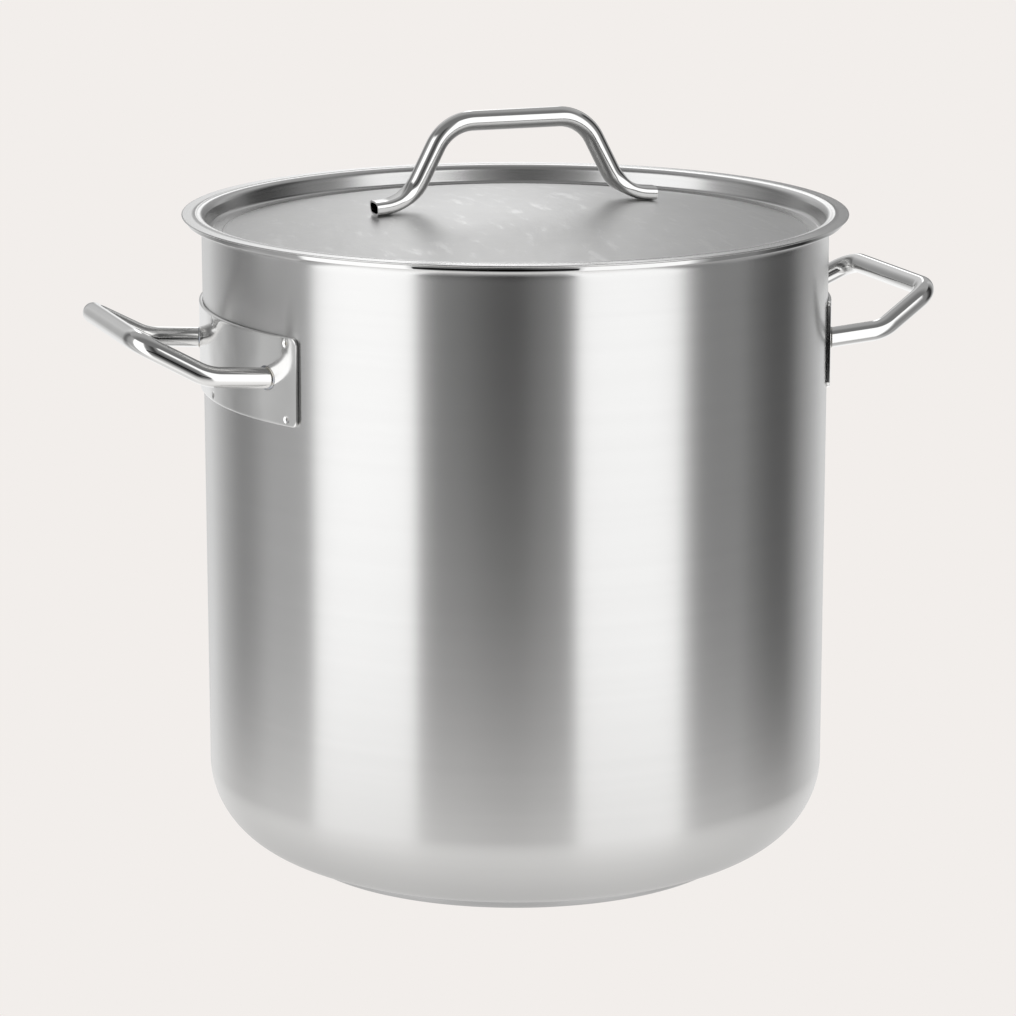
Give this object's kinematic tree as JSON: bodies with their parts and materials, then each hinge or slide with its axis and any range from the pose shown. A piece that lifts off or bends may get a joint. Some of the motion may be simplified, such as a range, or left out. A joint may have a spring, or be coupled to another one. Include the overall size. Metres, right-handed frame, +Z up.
{
  "type": "stock pot",
  "caption": "Tall straight-sided stainless stock pot with a sandwich base, looped tube handles on curved side plates, and a lift-off recessed domed lid with an arched tube handle.",
  "frame": {"origin": "centre of the base, on the surface that the pot stands on", "axes": "+Z up, +X out through the middle of one side handle, +Y to the side between the handles"},
  "size_m": [0.545, 0.425, 0.4835],
  "materials": {
    "satin_steel": "satin, fine marks round the body",
    "base_steel": "satin, turned",
    "polished_steel": "polished",
    "core_aluminium": "matt",
    "weld_steel": "cleaned weld"
  },
  "bodies": {
    "pot": {"pot_shell": "satin_steel", "base_core": "core_aluminium", "base_cap": "base_steel", "right_handle_plate": "polished_steel", "right_handle_tube": "polished_steel", "right_weld_bead_1": "weld_steel", "right_weld_bead_2": "weld_steel", "right_spot_weld_1": "weld_steel", "right_spot_weld_2": "weld_steel", "right_spot_weld_3": "weld_steel", "right_spot_weld_4": "weld_steel", "right_spot_weld_5": "weld_steel", "right_spot_weld_6": "weld_steel", "left_handle_plate": "polished_steel", "left_handle_tube": "polished_steel", "left_weld_bead_1": "weld_steel", "left_weld_bead_2": "weld_steel", "left_spot_weld_1": "weld_steel", "left_spot_weld_2": "weld_steel", "left_spot_weld_3": "weld_steel", "left_spot_weld_4": "weld_steel", "left_spot_weld_5": "weld_steel", "left_spot_weld_6": "weld_steel"},
    "lid": {"lid_pan": "satin_steel", "lid_handle": "polished_steel", "lid_weld_left": "weld_steel", "lid_weld_right": "weld_steel"}
  },
  "joints": [
    {"name": "lid_lift", "type": "slide", "parent": "pot", "child": "lid", "axis": [0, 0, 1], "range_m": [0, 0.15]}
  ]
}
